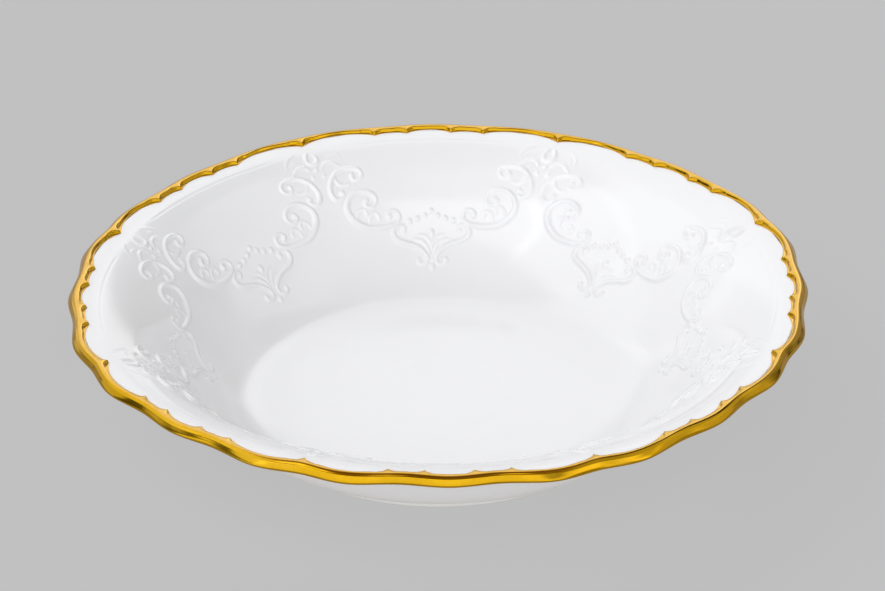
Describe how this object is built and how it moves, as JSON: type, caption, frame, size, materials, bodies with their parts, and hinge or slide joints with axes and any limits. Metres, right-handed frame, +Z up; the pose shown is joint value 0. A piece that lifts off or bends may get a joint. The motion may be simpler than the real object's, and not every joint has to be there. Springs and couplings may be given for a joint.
{
  "type": "serving bowl",
  "caption": "Shallow round porcelain serving bowl with a scalloped gilded lip, moulded scrollwork on the flared inner wall and a low foot ring.",
  "frame": {"origin": "centre of the foot ring on the plane the bowl rests on", "axes": "+Z up along the bowl's axis of rotation; +Y through the middle of one moulded scroll cartouche"},
  "size_m": [0.2286, 0.2286, 0.0438],
  "materials": {
    "glazed_porcelain": "gloss",
    "foot_porcelain": "matte",
    "rim_gold": "polished gilding"
  },
  "bodies": {
    "root": {"porcelain_body": "glazed_porcelain", "foot_ring": "foot_porcelain", "gold_rim_band": "rim_gold"}
  },
  "joints": []
}
